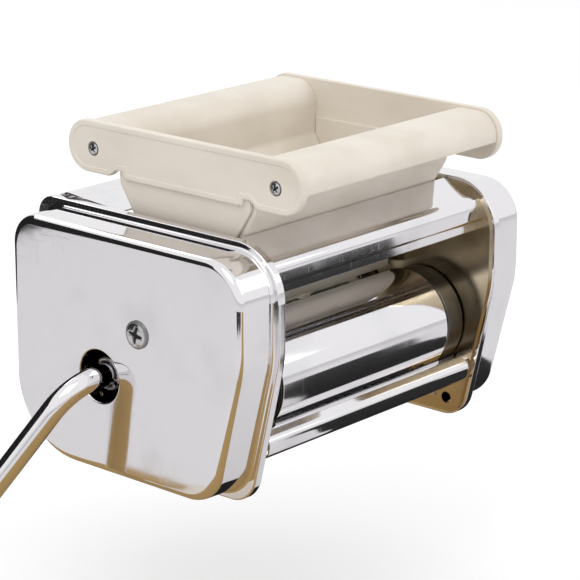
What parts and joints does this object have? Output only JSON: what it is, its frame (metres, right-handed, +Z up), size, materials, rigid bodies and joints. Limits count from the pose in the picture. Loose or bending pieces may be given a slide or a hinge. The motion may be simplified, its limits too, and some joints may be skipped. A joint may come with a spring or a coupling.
{
  "type": "ravioli maker with crank",
  "caption": "Ravioli-making attachment: two geared mould rollers in a chromed frame, a lift-off filling hopper and a plug-in hand crank.",
  "frame": {"origin": "the middle of the line between the two hanging pins, where the attachment hangs on its host machine", "axes": "+X along the rollers, away from the crank; +Y to the rear, towards the host machine; +Z up"},
  "size_m": [0.3637, 0.1884, 0.2539],
  "materials": {
    "side_covers": "polished chrome plate",
    "frame_plates": "polished plate",
    "sheet_metal": "polished chrome plate",
    "scrapers": "spring steel",
    "mould_rollers": "satin, machined",
    "roller_hubs": "polished",
    "spacers": "moulded",
    "drive_steel": "turned",
    "bushes": "sintered",
    "fixings": "bright zinc",
    "screws": "polished",
    "hopper": "ivory, moulded",
    "crank": "polished",
    "grip": "ivory, moulded"
  },
  "bodies": {
    "frame": {"left_side_cover": "side_covers", "right_side_cover": "side_covers", "left_frame_plate": "frame_plates", "right_frame_plate": "frame_plates", "front_top_plate": "sheet_metal", "rear_top_plate": "sheet_metal", "front_bottom_rail": "sheet_metal", "rear_bottom_rail": "sheet_metal", "front_roller_guard": "sheet_metal", "rear_roller_guard": "sheet_metal", "front_scraper": "scrapers", "rear_scraper": "scrapers", "axle_bushes": "bushes", "tie_rods": "fixings", "tie_rod_nuts": "fixings", "plate_rivets": "fixings", "hang_pins": "fixings", "rest_pins": "fixings", "cover_studs": "fixings", "left_cover_screw": "screws", "right_cover_screw": "screws"},
    "drive_roller": {"rear_mould_roller": "mould_rollers", "rear_roller_hubs": "roller_hubs", "rear_spacer_collars": "spacers", "drive_axle": "drive_steel", "crank_socket": "drive_steel", "socket_pin": "drive_steel", "drive_gear": "drive_steel", "rear_axle_clip": "drive_steel"},
    "front_roller": {"front_mould_roller": "mould_rollers", "front_roller_hubs": "roller_hubs", "front_spacer_collars": "spacers", "front_axle": "drive_steel", "driven_gear": "drive_steel", "front_axle_clips": "drive_steel"},
    "hopper": {"left_hopper_end": "hopper", "right_hopper_end": "hopper", "front_hopper_wall": "hopper", "rear_hopper_wall": "hopper", "hopper_screws": "screws"},
    "crank": {"crank_rod": "crank", "crank_pin": "crank", "grip_cap": "crank"},
    "grip": {"grip": "grip"}
  },
  "joints": [
    {"name": "drive_roller_turn", "type": "hinge", "parent": "frame", "child": "drive_roller", "pos_m": [0, -0.052, -0.0404], "axis": [1, 0, 0], "continuous": true},
    {"name": "front_roller_turn", "type": "hinge", "parent": "frame", "child": "front_roller", "pos_m": [0, -0.104, -0.0404], "axis": [1, 0, 0], "continuous": true},
    {"name": "hopper_lift", "type": "slide", "parent": "frame", "child": "hopper", "axis": [0, 0, 1], "range_m": [0, 0.1]},
    {"name": "crank_plug", "type": "slide", "parent": "drive_roller", "child": "crank", "axis": [-1, 0, 0], "range_m": [0, 0.03]},
    {"name": "grip_spin", "type": "hinge", "parent": "crank", "child": "grip", "pos_m": [-0.2275, 0.02413, -0.16964], "axis": [1, 0, 0], "continuous": true}
  ],
  "couplings": [
    {"joint": "front_roller_turn", "follows": "drive_roller_turn", "ratio": -1}
  ]
}
